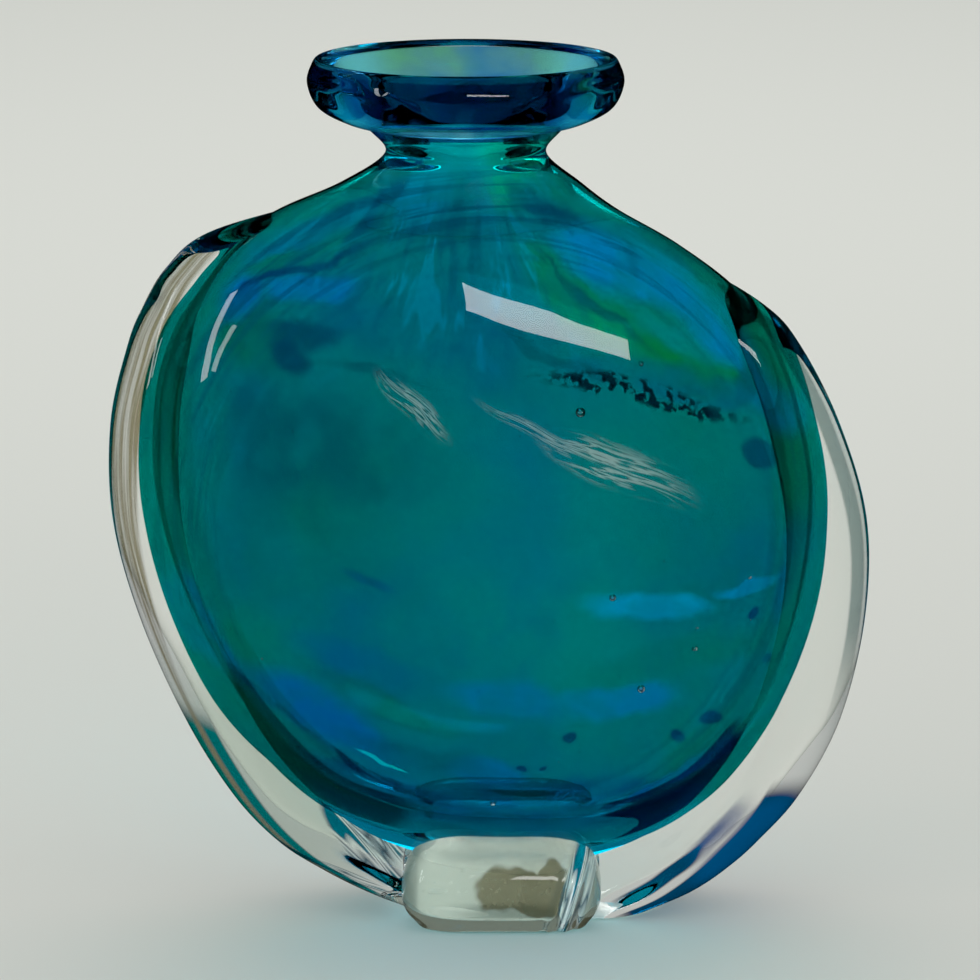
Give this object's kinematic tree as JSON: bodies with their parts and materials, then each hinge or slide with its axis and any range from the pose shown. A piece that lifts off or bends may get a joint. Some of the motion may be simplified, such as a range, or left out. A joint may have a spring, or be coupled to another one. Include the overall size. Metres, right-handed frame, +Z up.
{
  "type": "hand blown art glass vase",
  "caption": "Flattened disc-shaped vase of blue and green glass cased in clear, with a rolled lip, clear straps down both edges and clear pressed feet.",
  "frame": {"origin": "middle of the vase's footprint, on the flat ground base", "axes": "+Z up towards the mouth, -Y towards the front face of the flattened body, +X to its right"},
  "size_m": [0.1968, 0.0814, 0.2225],
  "materials": {
    "coloured_glass": "fire-polished, blue and green streaks",
    "casing_glass": "fire-polished, clear",
    "lip_glass": "fire-polished, blue streaks in clear",
    "strap_glass": "fire-polished, clear",
    "foot_glass": "fire-polished, clear"
  },
  "bodies": {
    "root": {"colour_core": "coloured_glass", "clear_casing": "casing_glass", "lip_ring": "lip_glass", "strap_left": "strap_glass", "strap_right": "strap_glass", "foot_front": "foot_glass", "foot_back": "foot_glass"}
  },
  "joints": []
}
